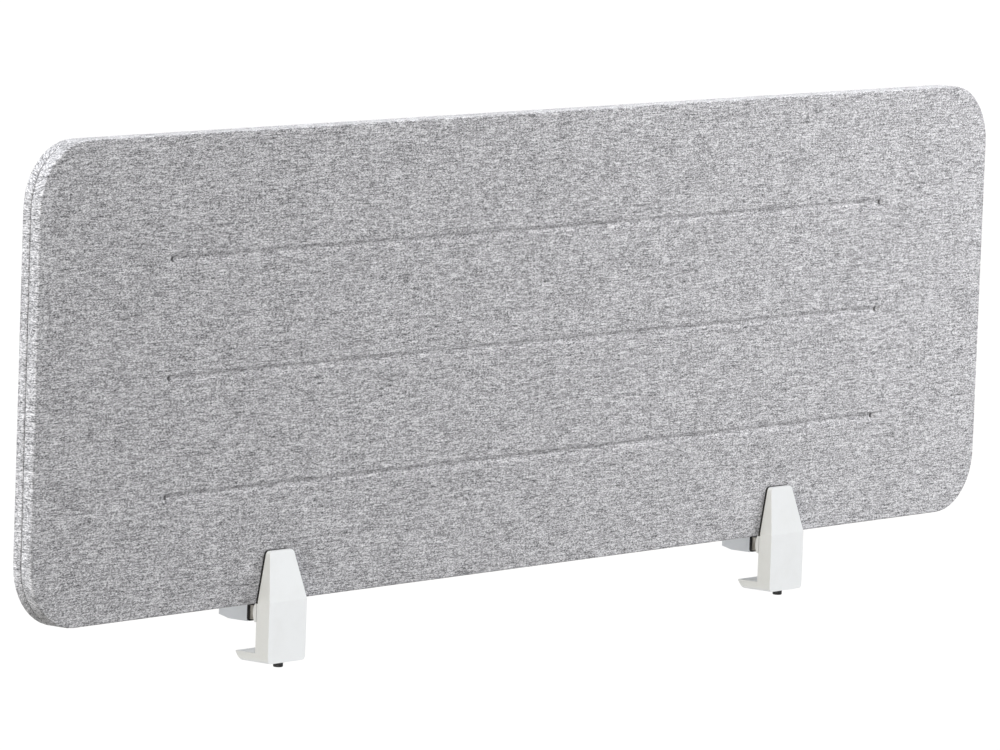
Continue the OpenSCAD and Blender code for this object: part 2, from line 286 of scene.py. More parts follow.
class Graph:
    """A material's node tree, with short ways to add to it."""

    def __init__(self, name: str) -> None:
        """Makes an empty material with an output and a Principled shader.

        Args:
            name: The material's name.
        """
        self.material = bpy.data.materials.new(name)
        self.material.use_nodes = True
        self.tree = self.material.node_tree
        self.tree.nodes.clear()
        self.shader = self.tree.nodes.new("ShaderNodeBsdfPrincipled")
        output = self.tree.nodes.new("ShaderNodeOutputMaterial")
        self.tree.links.new(self.shader.outputs["BSDF"], output.inputs["Surface"])

    def feed(self, socket: Socket, value: Socket | float | tuple[float, ...]) -> None:
        """Links a socket to another, or sets its number or colour.

        Args:
            socket: The input.
            value: What it gets.
        """
        if isinstance(value, Socket):
            self.tree.links.new(value, socket)
        else:
            socket.default_value = value

    def add(self, kind: str, inputs: dict | None = None, **settings: str) -> bpy.types.Node:
        """Adds a node.

        Args:
            kind: The node's type, without its ShaderNode prefix.
            inputs: Values or sockets for its inputs, by name or number.
            **settings: The node's own settings.

        Returns:
            The node.
        """
        node = self.tree.nodes.new("ShaderNode" + kind)
        for key, value in settings.items():
            setattr(node, key, value)
        for key, value in (inputs or {}).items():
            self.feed(node.inputs[key], value)
        return node

    def maths(
        self, operation: str, a: Socket | float, b: Socket | float = 0.0, c: Socket | float = 0.0
    ) -> Socket:
        """Returns the result of a Math node."""
        return self.add("Math", {0: a, 1: b, 2: c}, operation=operation).outputs[0]

    def total(self, *parts: Socket) -> Socket:
        """Returns the sum of two or more values.

        Args:
            *parts: The values, added from first to last.

        Returns:
            The sum.
        """
        result = parts[0]
        for part in parts[1:]:
            result = self.maths("ADD", result, part)
        return result

    def scaled(self, value: Socket, factor: float) -> Socket:
        """Returns a value times a number."""
        return self.maths("MULTIPLY", value, factor)

    def noise(self, vector: Socket, grain: Grain) -> Socket:
        """Returns a noise from 0 to 1 at a place.

        Args:
            vector: The place.
            grain: How fine the noise is.

        Returns:
            The noise.
        """
        fineness = {"Scale": grain.scale, "Detail": grain.detail, "Roughness": grain.roughness}
        return self.add("TexNoise", {"Vector": vector, **fineness}).outputs[0]

    def place(self) -> Socket:
        """Returns the place in the frame's metres."""
        return self.add("TexCoord").outputs["Object"]

    def ramp(self, value: Socket, stops: list[tuple[float, Colour]]) -> Socket:
        """Returns the colour of a ramp.

        Args:
            value: The socket that moves along the ramp.
            stops: Places along the ramp and their colours.

        Returns:
            The colour.
        """
        node = self.add("ValToRGB", {0: value})
        elements = node.color_ramp.elements
        while len(elements) < len(stops):
            elements.new(0.5)
        for element, (at, colour) in zip(elements, stops):
            element.position = at
            element.color = (*colour, 1.0)
        return node.outputs[0]

    def spread(self, value: Socket, low: float, high: float, to_low: float, to_high: float) -> Socket:
        """Returns a value moved from one range to another, held at its ends."""
        node = self.add("MapRange", {0: value, 1: low, 2: high, 3: to_low, 4: to_high})
        return node.outputs[0]

    def vary(self, noise: Socket, to_low: float, to_high: float) -> Socket:
        """Returns a noise moved from the range where most of it lies to another."""
        return self.spread(noise, 0.3, 0.7, to_low, to_high)

    def bump(self, height: Socket, strength: float, distance: float) -> None:
        """Raises the surface's look by a height in metres."""
        node = self.add("Bump", {"Height": height, "Strength": strength, "Distance": distance})
        self.feed(self.shader.inputs["Normal"], node.outputs[0])

    def set(self, **values: Socket | float | tuple[float, ...]) -> None:
        """Sets the shader's inputs; underscores stand for spaces in their names."""
        for key, value in values.items():
            self.feed(self.shader.inputs[key.replace("_", " ")], value)


@dataclass(frozen=True)
class FleckedWeave:
    """Plain weave of slubby yarns in light and dark greys, laid along the surface's own texture places.

    Lengths are in millimetres. A jump is how far apart two neighbouring yarns read a noise, and a layer is
    the depth at which they read it. The tone runs through the dark, the middle and the light grey. A row is
    painted darker where its round section is lower than gap_edge: painted shade in the gaps between the
    yarns. Where the warp crosses over, it begins to show at the height over_from and shows the most at
    over_full.
    """

    yarn: float = 0.72
    warp: float = 1.3
    slub: float = 15.0
    fleck: float = 2.3
    warp_slub: float = 12.0
    streak: float = 26.0
    row_jump: float = 7.37
    column_jump: float = 5.91
    streak_jump: float = 3.77
    row_layer: float = 0.0
    fleck_layer: float = 21.0
    column_layer: float = 40.0
    streak_layer: float = 80.0
    broad_sway: Grain = Grain(140.0)
    broad_sway_width: float = 1.4
    fine_sway: Grain = Grain(800.0)
    fine_sway_width: float = 1.6
    broad_drift: Grain = Grain(90.0)
    broad_drift_width: float = 0.7
    fine_drift: Grain = Grain(1150.0)
    fine_drift_width: float = 0.6
    fibres: Grain = Grain(1500.0, 3.0, 0.75)
    shade: Grain = Grain(30.0)
    row_grain: Grain = Grain(1.0, 1.5, 0.6)
    column_grain: Grain = Grain(1.0, 1.2, 0.6)
    streak_grain: Grain = Grain(1.0, 1.0)
    slub_share: float = 0.36
    fleck_share: float = 0.64
    warp_share: float = 0.1
    fibre_tone: float = 0.07
    shade_tone: float = 0.008
    streak_tone: float = 0.012
    # how much painted shade darkens the gaps between the rows of yarn
    painted_gap_shade: float = 0.035
    gap_edge: float = 0.75
    over_from: float = 0.6
    over_full: float = 0.95
    yarn_relief: float = 0.7
    crossing_relief: float = 0.45
    fibre_relief: float = 0.35
    slub_relief: float = 0.8
    rough: tuple[float, float] = (0.82, 0.97)
    dark_at: float = 0.335
    middle_at: float = 0.47
    light_at: float = 0.64
    dark: Colour = (0.03, 0.03, 0.0335)
    middle: Colour = (0.2255, 0.225, 0.2365)
    light: Colour = (0.589, 0.588, 0.611)

    def along_and_across(self, g: Graph, uv: Socket) -> tuple[Socket, Socket]:
        """Splits the place into distances along and across the rows, in millimetres.

        A broad and a fine noise are added to each, so that no yarn runs straight.

        Args:
            g: The material's nodes.
            uv: The place on the cloth, in metres.

        Returns:
            The distance along the rows and the distance across them.
        """
        split = g.add("SeparateXYZ", {0: uv})
        sway = g.scaled(g.noise(uv, self.broad_sway), self.broad_sway_width)
        sway = g.maths("MULTIPLY_ADD", g.noise(uv, self.fine_sway), self.fine_sway_width, sway)
        drift = g.scaled(g.noise(uv, self.broad_drift), self.broad_drift_width)
        drift = g.maths("MULTIPLY_ADD", g.noise(uv, self.fine_drift), self.fine_drift_width, drift)
        along = g.maths("MULTIPLY_ADD", split.outputs[0], 1 / MM, sway)
        across = g.maths("MULTIPLY_ADD", split.outputs[1], 1 / MM, drift)
        return along, across

    def read(self, g: Graph, x: Socket, y: Socket, layer: float, grain: Grain) -> Socket:
        """Returns a noise at a place that is put together from its three parts."""
        at = g.add("CombineXYZ", {0: x, 1: y, 2: layer})
        return g.noise(at.outputs[0], grain)

    def bulge(self, g: Graph, count: Socket) -> Socket:
        """Returns half a sine wave from one yarn's edge to the other: the height of its round section."""
        return g.maths("SINE", g.scaled(g.maths("FRACT", count), math.pi))

    def make(self) -> bpy.types.Material:
        """Builds the material.

        The place is split into yarn rows and warp columns, in millimetres. Each row reads a noise that is
        stretched along it and starts elsewhere than its neighbours', so it carries its own light and dark
        slubs. Rows and columns are round in section and pass over and under each other for the relief.

        Returns:
            The material.
        """
        g = Graph("flecked_weave")
        uv = g.add("UVMap", uv_map="weave").outputs[0]
        along, across = self.along_and_across(g, uv)
        row = g.maths("DIVIDE", across, self.yarn)
        column = g.maths("DIVIDE", along, self.warp)
        row_number = g.maths("FLOOR", row)
        column_number = g.maths("FLOOR", column)

        row_start = g.scaled(row_number, self.row_jump)
        slub_at = g.maths("DIVIDE", along, self.slub)
        long_slub = self.read(g, slub_at, row_start, self.row_layer, self.row_grain)
        fleck_at = g.maths("DIVIDE", along, self.fleck)
        short_slub = self.read(g, fleck_at, row_start, self.fleck_layer, self.row_grain)
        slub = g.total(g.scaled(long_slub, self.slub_share), g.scaled(short_slub, self.fleck_share))
        column_start = g.scaled(column_number, self.column_jump)
        warp_at = g.maths("DIVIDE", across, self.warp_slub)
        warp_slub = self.read(g, column_start, warp_at, self.column_layer, self.column_grain)
        streak_start = g.scaled(column_number, self.streak_jump)
        streak_at = g.maths("DIVIDE", across, self.streak)
        streak = self.read(g, streak_start, streak_at, self.streak_layer, self.streak_grain)

        row_round = self.bulge(g, row)
        parity = g.maths("PINGPONG", g.total(row_number, column_number), 1.0)
        over = g.maths("MULTIPLY", parity, self.bulge(g, column))
        blend = g.spread(over, self.over_from, self.over_full, 0.0, self.warp_share)
        fibres = g.noise(uv, self.fibres)
        shade = g.noise(uv, self.shade)
        tone = g.total(
            g.maths("MULTIPLY", slub, g.maths("SUBTRACT", 1.0, blend)),
            g.maths("MULTIPLY", warp_slub, blend),
            g.vary(fibres, -self.fibre_tone, self.fibre_tone),
            g.vary(shade, -self.shade_tone, self.shade_tone),
            g.vary(streak, -self.streak_tone, self.streak_tone),
            # painted shade: each row is darkened towards its edges, in the gaps between the yarns
            g.spread(row_round, 0.0, self.gap_edge, -self.painted_gap_shade, 0.0),
        )
        stops = [(self.dark_at, self.dark), (self.middle_at, self.middle), (self.light_at, self.light)]
        height = g.total(
            g.scaled(row_round, self.yarn_relief),
            g.scaled(over, self.crossing_relief),
            g.scaled(fibres, self.fibre_relief),
            g.scaled(slub, self.slub_relief),
        )
        g.bump(height, strength=0.45, distance=0.25 * MM)
        g.set(Base_Color=g.ramp(tone, stops), Roughness=g.vary(fibres, *self.rough))
        g.set(Sheen_Weight=0.18, Sheen_Roughness=0.45, Specular_IOR_Level=0.2)
        return g.material


@dataclass(frozen=True)
class PowderCoat:
    """White powder coating with a fine orange-peel skin and faint handling marks."""

    colour: Colour = (0.838, 0.858, 0.882)
    worn: Colour = (0.815, 0.833, 0.852)
    marks: Grain = Grain(55.0, 3.0, 0.6)
    peel: Grain = Grain(1500.0, 1.5)
    pores: Grain = Grain(5200.0, 1.0)
    pore_relief: float = 0.35
    rough: tuple[float, float] = (0.40, 0.33)
    pore_rough: tuple[float, float] = (-0.03, 0.05)

    def make(self) -> bpy.types.Material:
        """Builds the material: a broad noise tints it, and two fine ones raise its skin.

        Returns:
            The material.
        """
        g = Graph("white_powder_coat")
        place = g.place()
        marks, peel, pores = g.noise(place, self.marks), g.noise(place, self.peel), g.noise(place, self.pores)
        rough = g.total(g.vary(marks, *self.rough), g.vary(pores, *self.pore_rough))
        g.set(Base_Color=g.ramp(marks, [(0.3, self.worn), (0.55, self.colour)]), Roughness=rough)
        g.set(Coat_Weight=0.12, Coat_Roughness=0.3)
        g.bump(g.total(peel, g.scaled(pores, self.pore_relief)), strength=0.16, distance=0.05 * MM)
        return g.material


@dataclass(frozen=True)
class MouldedRubber:
    """Black moulded rubber with a dusty bloom."""

    black: Colour = (0.012, 0.012, 0.013)
    bloom: Colour = (0.035, 0.035, 0.037)
    dust: Grain = Grain(180.0, 4.0, 0.65)
    grain: Grain = Grain(3200.0, 2.0, 0.6)
    rough: tuple[float, float] = (0.7, 0.88)

    def make(self) -> bpy.types.Material:
        """Builds the material: a noise lays the bloom and a finer one the moulded grain.

        Returns:
            The material.
        """
        g = Graph("black_rubber")
        place = g.place()
        dust, grain = g.noise(place, self.dust), g.noise(place, self.grain)
        g.set(Base_Color=g.ramp(dust, [(0.35, self.black), (0.75, self.bloom)]))
        g.set(Roughness=g.vary(grain, *self.rough), Specular_IOR_Level=0.35)
        g.bump(grain, strength=0.3, distance=0.06 * MM)
        return g.material


@dataclass(frozen=True)
class CastMetal:
    """Bare die-cast metal, brown-grey, with tool lines along Y."""

    light: Colour = (0.44, 0.42, 0.385)
    dark: Colour = (0.22, 0.205, 0.185)
    stretch: tuple[float, float, float] = (1.0, 0.06, 1.0)
    lines: Grain = Grain(2400.0, 2.0, 0.6)
    stain: Grain = Grain(240.0, 4.0, 0.65)
    line_share: float = 0.35
    stain_share: float = 0.65
    rough: tuple[float, float] = (0.52, 0.34)

    def make(self) -> bpy.types.Material:
        """Builds the material: a noise stretched along Y draws the tool lines, a broad one stains it.

        Returns:
            The material.
        """
        g = Graph("bare_cast_metal")
        place = g.place()
        stretched = g.add("Mapping", {"Vector": place, "Scale": self.stretch}).outputs[0]
        lines, stain = g.noise(stretched, self.lines), g.noise(place, self.stain)
        tone = g.total(g.scaled(lines, self.line_share), g.scaled(stain, self.stain_share))
        g.set(Base_Color=g.ramp(tone, [(0.32, self.dark), (0.62, self.light)]), Metallic=0.85)
        g.set(Roughness=g.vary(tone, *self.rough))
        g.bump(lines, strength=0.2, distance=0.03 * MM)
        return g.material


@dataclass(frozen=True)
class BlackOxide:
    """Steel with a black oxide skin that has worn at its high spots."""

    skin: Colour = (0.018, 0.018, 0.019)
    steel: Colour = (0.10, 0.10, 0.105)
    mottle: Grain = Grain(900.0, 3.0, 0.6)
    rough: tuple[float, float] = (0.32, 0.5)

    def make(self) -> bpy.types.Material:
        """Builds the material: a noise mottles the oil-darkened skin.

        Returns:
            The material.
        """
        g = Graph("black_oxide_steel")
        mottle = g.noise(g.place(), self.mottle)
        g.set(Base_Color=g.ramp(mottle, [(0.4, self.skin), (0.85, self.steel)]), Metallic=0.6)
        g.set(Roughness=g.vary(mottle, *self.rough))
        g.bump(mottle, strength=0.12, distance=0.03 * MM)
        return g.material


@dataclass(frozen=True)
class ZincPlate:
    """Bright zinc-plated steel."""

    colour: Colour = (0.62, 0.63, 0.64)
    dull: Colour = (0.42, 0.43, 0.45)
    patches: Grain = Grain(700.0, 3.0, 0.6)
    rough: tuple[float, float] = (0.42, 0.24)

    def make(self) -> bpy.types.Material:
        """Builds the material: a noise dulls the plating in patches.

        Returns:
            The material.
        """
        g = Graph("zinc_plated_steel")
        patches = g.noise(g.place(), self.patches)
        g.set(Base_Color=g.ramp(patches, [(0.35, self.dull), (0.7, self.colour)]), Metallic=1.0)
        g.set(Roughness=g.vary(patches, *self.rough))
        return g.material


@dataclass(frozen=True)
class SeamFelt:
    """Grey pressed felt of the strip at the bottom of the edge groove."""

    dark: Colour = (0.22, 0.22, 0.225)
    light: Colour = (0.48, 0.48, 0.485)
    fibres: Grain = Grain(2100.0, 4.0, 0.7)

    def make(self) -> bpy.types.Material:
        """Builds the material: fine noise for the fibres, raised a little.

        Returns:
            The material.
        """
        g = Graph("seam_felt")
        fibres = g.noise(g.place(), self.fibres)
        g.set(Base_Color=g.ramp(fibres, [(0.3, self.dark), (0.7, self.light)]))
        g.set(Roughness=0.95, Sheen_Weight=0.1)
        g.bump(fibres, strength=0.5, distance=0.2 * MM)
        return g.material


@dataclass(frozen=True)
class TackThread:
    """Dark twisted sewing thread."""

    dark: Colour = (0.045, 0.045, 0.05)
    light: Colour = (0.17, 0.17, 0.18)
    twists: float = 900.0
    unevenness: float = 0.6

    def make(self) -> bpy.types.Material:
        """Builds the material: a wave across the thread's length shows its twist.

        Returns:
            The material.
        """
        g = Graph("tack_thread")
        uv = g.add("UVMap", uv_map="weave").outputs[0]
        inputs = {"Vector": uv, "Scale": self.twists, "Distortion": self.unevenness}
        twist = g.add("TexWave", inputs, bands_direction="DIAGONAL").outputs[1]
        g.set(Base_Color=g.ramp(twist, [(0.2, self.dark), (0.8, self.light)]))
        g.set(Roughness=0.8, Sheen_Weight=0.15)
        g.bump(twist, strength=0.5, distance=0.05 * MM)
        return g.material


@dataclass(frozen=True)
class RawWood:
    """Unfinished wood, as fibreboard or as grained beech."""

    name: str
    dark: Colour
    light: Colour
    stretch: tuple[float, float, float]
    fibres: Grain = Grain(800.0, 5.0, 0.65)
    rough: tuple[float, float] = (0.72, 0.9)

    def make(self) -> bpy.types.Material:
        """Builds the material: a stretched noise draws its fibres.

        Returns:
            The material.
        """
        g = Graph(self.name)
        stretched = g.add("Mapping", {"Vector": g.place(), "Scale": self.stretch}).outputs[0]
        fibres = g.noise(stretched, self.fibres)
        g.set(Base_Color=g.ramp(fibres, [(0.3, self.dark), (0.72, self.light)]))
        g.set(Roughness=g.vary(fibres, *self.rough))
        g.bump(fibres, strength=0.35, distance=0.12 * MM)
        return g.material


@dataclass(frozen=True)
class StudioFloor:
    """Pale matt floor, greyer near the object and near-white further out, that glows faintly with painted light
    and hides nothing from below.
    """

    near: Colour = (0.52, 0.52, 0.525)
    far: Colour = (0.93, 0.93, 0.93)
    painted_glow: float = 0.14
    near_radius: float = 1.2
    far_radius: float = 3.4
    clouds: Grain = Grain(0.35)
    cloud_tone: float = 0.03

    def make(self) -> bpy.types.Material:
        """Builds the material: the distance from the origin moves it from the near to the far colour.

        Returns:
            The material.
        """
        g = Graph("studio_floor")
        place = g.place()
        distance = g.add("VectorMath", {0: place}, operation="LENGTH").outputs["Value"]
        out = g.spread(distance, self.near_radius, self.far_radius, 0.0, 1.0)
        tone = g.total(out, g.vary(g.noise(place, self.clouds), -self.cloud_tone, self.cloud_tone))
        g.set(Base_Color=g.ramp(tone, [(0.0, self.near), (1.0, self.far)]))
        g.set(Roughness=0.9, Specular_IOR_Level=0.1)
        # painted light: the floor glows a little, though it is no lamp, so that it reads white
        g.set(Emission_Color=(1.0, 1.0, 1.0, 1.0), Emission_Strength=self.painted_glow)
        under = g.add("NewGeometry").outputs["Backfacing"]
        g.set(Alpha=g.maths("SUBTRACT", 1.0, under))
        return g.material


class Finishes:
    """All the finishes, made once."""

    def __init__(self) -> None:
        """Makes every material that the pieces share."""
        self.weave = FleckedWeave().make()
        self.paint = PowderCoat().make()
        self.rubber = MouldedRubber().make()
        self.cast = CastMetal().make()
        self.oxide = BlackOxide().make()
        self.zinc = ZincPlate().make()
        self.felt = SeamFelt().make()
        self.thread = TackThread().make()
        self.board = RawWood("fibreboard", (0.36, 0.27, 0.17), (0.62, 0.50, 0.35), (1.0, 1.0, 1.0)).make()
        self.beech = RawWood("beech", (0.48, 0.34, 0.20), (0.74, 0.58, 0.40), (1.0, 0.1, 1.0)).make()


def finish_piece(
    piece: bpy.types.Object, material: bpy.types.Material, body: str, slot: str, *nodes: str
) -> None:
    """Gives a new piece its material and its body, and hides the nodes that it stands for.

    Args:
        piece: The new object.
        material: Its finish.
        body: The body that it moves with.
        slot: The record's material slot; not used.
        *nodes: The nodes that it replaces.
    """
    piece.data.materials.clear()
    piece.data.materials.append(material)
    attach(piece, body)
    if nodes:
        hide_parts(*nodes)
    LOG.info("%s: %d faces on %s", piece.name, len(piece.data.polygons), body)


def dress_node(frame: dict, node: str, material: bpy.types.Material) -> None:
    """Puts a finish on a node that keeps its own shape.

    Args:
        frame: The loaded frame.
        node: The node's name.
        material: Its finish.
    """
    shown = frame["nodes"][node]
    shown.data.materials.clear()
    shown.data.materials.append(material)
    LOG.info("%s: kept, with %s", node, material.name)


# ---------------------------------------------------------------- panel


@dataclass
class PanelHalf:
    """One board's fabric cover: a flat face with pressed grooves, a soft edge and a hem in the seam.

    The grid's steps are wide on the plain cloth and fine round the grooves and their ends. The bolt place
    says from where on the bolt of cloth the back's cover is cut, so that the sides don't repeat each other.
    """

    face: Face
    corner_radius: float = 55 * MM
    edge_radius: float = 1.4 * MM
    curl_radius: float = 1.5 * MM
    curl_run: float = 1.3 * MM
    lip: float = 0.6 * MM
    hem: float = 12 * MM
    cloth: float = 0.6 * MM
    groove_count: int = 3
    groove_reach: float = 4.3 * MM
    groove_depth: float = 1.75 * MM
    pucker_depth: float = 0.4 * MM
    pucker_reach: float = 7 * MM
    pucker_flatness: float = 0.8
    wave_depth: float = 0.05 * MM
    wave_along: float = 23.0
    wave_up: float = 31.0
    wave_start: float = 1.3
    bend: float = 3.0
    bend_up: float = 9.0
    relief_fade: float = 30 * MM
    tack_half_height: float = 2 * MM
    tack_half_width: float = 0.8 * MM
    tack_inset: float = 0.5 * MM
    wide_step: float = 10 * MM
    end_step: float = 0.8 * MM
    end_reach: float = 5 * MM
    groove_step: float = 0.5 * MM
    groove_step_reach: float = 5.5 * MM
    arc_steps: int = 12
    flat_rows: int = 8
    turn_rows: int = 9
    fall_rows: int = 6
    hem_rows: int = 4
    back_bolt_place: tuple[float, float] = (3.17, 1.41)

    def __post_init__(self) -> None:
        """Reads the cover's box and the grooves' places from the frame."""
        self.word = self.face.name.lower()
        self.node = f"{self.word}_cover"
        self.low, self.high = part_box(self.node)
        tack_low, tack_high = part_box(f"{self.word}_tacks")
        lowest, highest = tack_low.z + self.tack_half_height, tack_high.z - self.tack_half_height
        self.groove_heights = np.linspace(lowest, highest, self.groove_count)
        self.tack_x = tack_high.x - self.tack_half_width
        self.groove_half_length = tack_high.x + self.tack_inset
        front = self.face is Face.FRONT
        self.bolt = np.array((0.0, 0.0) if front else self.back_bolt_place)
        self.face_y = self.low.y if front else self.high.y
        self.seam_y = self.high.y if front else self.low.y

    def relief(self, x: np.ndarray, z: np.ndarray) -> np.ndarray:
        """How deep the cloth lies below the flat face.

        Each groove is a raised cosine across its width, faded out by another at its two ends, where the tacks
        pull a wider dimple of the same shape. A slow wave keeps the rest from being perfectly flat: one plus
        a sine of X, which a sine of Z bends, times a sine of Z.

        Args:
            x: Places along the panel.
            z: Heights.

        Returns:
            The depths, in metres.
        """
        bend = self.bend * np.sin(z * self.bend_up)
        wave = np.sin(x * self.wave_along + bend) * np.sin(z * self.wave_up + self.wave_start)
        depth = self.wave_depth * (1 + wave)
        for height in self.groove_heights:
            across = np.clip(np.abs(z - height) / self.groove_reach, 0, 1)
            past = np.clip((np.abs(x) - self.groove_half_length) / self.groove_reach, 0, 1)
            swell = np.hypot(across, past).clip(0, 1)
            depth = depth + self.groove_depth * raised_cosine(swell)
            pull = np.hypot(np.abs(x) - self.tack_x, (z - height) * self.pucker_flatness) / self.pucker_reach
            depth = depth + self.pucker_depth * raised_cosine(pull.clip(0, 1))
        return depth

    def profile(self) -> np.ndarray:
        """The cover's section from the flat face over the edge into the seam.

        Returns:
            Distances outwards from where the corners' centres lie and depths behind the face, of shape
            (rows, 2): a straight run, a quarter circle over the edge, the side, a small quarter circle, a
            half-cosine fall and the hem.
        """
        reach, thick = self.corner_radius, abs(self.seam_y - self.face_y)
        turn = np.linspace(0, math.pi / 2, self.turn_rows)
        run = np.linspace(0, reach - self.edge_radius, self.flat_rows)[:-1]
        flat = np.stack([run, np.zeros_like(run)], axis=1)
        fall_short, drop = 1 - np.sin(turn), 1 - np.cos(turn)
        edge = np.stack([reach - self.edge_radius * fall_short, self.edge_radius * drop], axis=1)
        deepest = thick + self.lip
        curl = np.stack([reach - self.curl_radius * drop, deepest - self.curl_radius * fall_short], axis=1)
        fall = np.linspace(0, 1, self.fall_rows)[1:]
        inwards = reach - self.curl_radius - self.curl_run * fall
        back = np.stack([inwards, deepest - self.lip * (1 - raised_cosine(fall))], axis=1)
        turned_in = np.linspace(inwards[-1], reach - self.hem, self.hem_rows)[1:]
        hem = np.stack([turned_in, np.full_like(turned_in, thick)], axis=1)
        return np.concatenate([flat, edge, curl, back, hem])

    def middle(self, xs: np.ndarray, zs: np.ndarray) -> Surface:
        """Computes the grid that fills the rectangle between the corners' centres, sunk by the relief.

        Args:
            xs: Places along its long sides.
            zs: Places along its short sides.

        Returns:
            The flat part of the cover.
        """
        x, z = np.meshgrid(xs, zs, indexing="xy")
        y = self.face_y + self.face.value * self.relief(x, z)
        return Surface.from_grid(np.stack([x, y, z], axis=-1), np.stack([x, z], axis=-1) + self.bolt)

    def band(self, xs: np.ndarray, zs: np.ndarray) -> Surface:
        """Carries the section along the rectangle's outline, fanning about each corner's centre.

        The relief at the outline fades out along the section. Texture places follow the cloth's own length
        over the edge.

        Args:
            xs: Places along the rectangle's long sides.
            zs: Places along its short sides.

        Returns:
            The rim of the cover.
        """
        start, out = self.outline(xs, zs)
        section = self.profile()
        step = np.diff(section, axis=0, prepend=section[:1])
        run = np.cumsum(np.hypot(step[:, 0], step[:, 1]))
        flat = start[None] + section[:, :1, None] * out[None]
        places = start[None] + run[:, None, None] * out[None] + self.bolt
        fade = np.clip(1 - section[:, :1] / self.relief_fade, 0, 1)
        depth = section[:, 1:] + self.relief(start[:, 0], start[:, 1])[None] * fade
        grid = np.stack([flat[..., 0], self.face_y + self.face.value * depth, flat[..., 1]], axis=-1)
        return Surface.from_grid(grid, places, wrap=True)

    def build(self, weave: bpy.types.Material) -> bpy.types.Object:
        """Builds the cover: the middle and the band, merged, with the cloth's thickness inwards.

        Args:
            weave: The cloth's finish.

        Returns:
            The cover.
        """
        middle_z = (self.low.z + self.high.z) / 2
        half_x = self.high.x - self.corner_radius
        half_z = (self.high.z - self.low.z) / 2 - self.corner_radius
        ends = [-self.groove_half_length, self.groove_half_length]
        xs = graded(-half_x, half_x, self.wide_step, ends, self.end_reach, self.end_step)
        bottom, top, grooves = middle_z - half_z, middle_z + half_z, list(self.groove_heights)
        zs = graded(bottom, top, self.wide_step, grooves, self.groove_step_reach, self.groove_step)
        whole = self.middle(xs, zs).joined(self.band(xs, zs).flipped())
        if self.face is Face.BACK:
            whole = whole.flipped()
        piece = whole.to_object(f"{self.node}_cloth", merge=0.01 * MM)
        shell = piece.modifiers.new("cloth", "SOLIDIFY")
        shell.thickness = self.cloth
        shell.offset = -1.0
        finish_piece(piece, weave, "panel", "fabric_grey", self.node)
        return piece

    def outline(self, xs: np.ndarray, zs: np.ndarray) -> tuple[np.ndarray, np.ndarray]:
        """Walks round the rectangle between the corners' centres, anticlockwise seen from the front.

        Args:
            xs: Places along its long sides.
            zs: Places along its short sides.

        Returns:
            The points, as X and Z, and the outward direction at each.
        """
        corners = [(xs[-1], zs[0]), (xs[-1], zs[-1]), (xs[0], zs[-1]), (xs[0], zs[0])]
        sides = [
            np.stack([xs, np.full_like(xs, zs[0])], axis=1),
            np.stack([np.full_like(zs, xs[-1]), zs], axis=1),
            np.stack([xs[::-1], np.full_like(xs, zs[-1])], axis=1),
            np.stack([np.full_like(zs, xs[0]), zs[::-1]], axis=1),
        ]
        points, outward = [], []
        for number, (side, corner) in enumerate(zip(sides, corners)):
            straight = math.radians(-90 + 90 * number)
            turn = straight + np.linspace(0, math.pi / 2, self.arc_steps + 1)[1:-1]
            points += [side, np.tile(corner, (len(turn), 1))]
            outward += [
                np.tile((math.cos(straight), math.sin(straight)), (len(side), 1)),
                np.stack([np.cos(turn), np.sin(turn)], axis=1),
            ]
        return np.concatenate(points), np.concatenate(outward)


@dataclass
class ThreadTacks:
    """Small bar tacks that hold the cloth down at the ends of the grooves on one face."""

    half: PanelHalf
    thread: float = 0.36 * MM
    half_height: float = 2.3 * MM
    half_width: float = 1.3 * MM
    rest_height: float = 0.9
    hump: float = 0.2 * MM
    turns: int = 6
    turn_points: int = 12
    sides: int = 8

    def build(self, material: bpy.types.Material) -> bpy.types.Object:
        """Builds the six tacks as one piece.

        Each thread zigzags up its tack: its X swings as a sine while Z climbs, it lies on the cloth's relief
        at a share of its radius, and it humps out at the middle of every swing.

        Args:
            material: The thread's finish.

        Returns:
            The tacks.
        """
        node = f"{self.half.word}_tacks"
        t = np.linspace(0, 1, self.turn_points * self.turns + 1)
        swing = np.sin(2 * math.pi * self.turns * t)
        lift = self.thread * self.rest_height + self.hump * (1 - swing**2)
        surface = None
        for x in (-self.half.tack_x, self.half.tack_x):
            for height in self.half.groove_heights:
                across = x + (self.half_width - self.thread) * swing
                up = height + (self.half_height - self.thread) * (2 * t - 1)
                depth = self.half.relief(across, up) - lift
                path = np.stack([across, self.half.face_y + self.half.face.value * depth, up], axis=1)
                strand = tube(path, self.thread, self.sides, Vector((0, 1, 0)))
                surface = strand if surface is None else surface.joined(strand)
        piece = surface.to_object(f"{node}_thread", merge=0.005 * MM)
        finish_piece(piece, material, "panel", "dark_thread", node)
        return piece


@dataclass
class Panel:
    """The screen itself: two covered boards, the strip between them and what joins them."""

    frame: dict
    finishes: Finishes

    def build(self) -> list[bpy.types.Object]:
        """Builds both covers and their tacks, and dresses what stays as it is.

        Returns:
            The covers.
        """
        covers = []
        for face in Face:
            half = PanelHalf(face)
            covers.append(half.build(self.finishes.weave))
            ThreadTacks(half).build(self.finishes.thread)
            dress_node(self.frame, f"{half.word}_board", self.finishes.board)
        dress_node(self.frame, "seam_frame", self.finishes.felt)
        dress_node(self.frame, "joining_dowels", self.finishes.beech)
        return covers


# ---------------------------------------------------------------- clamps


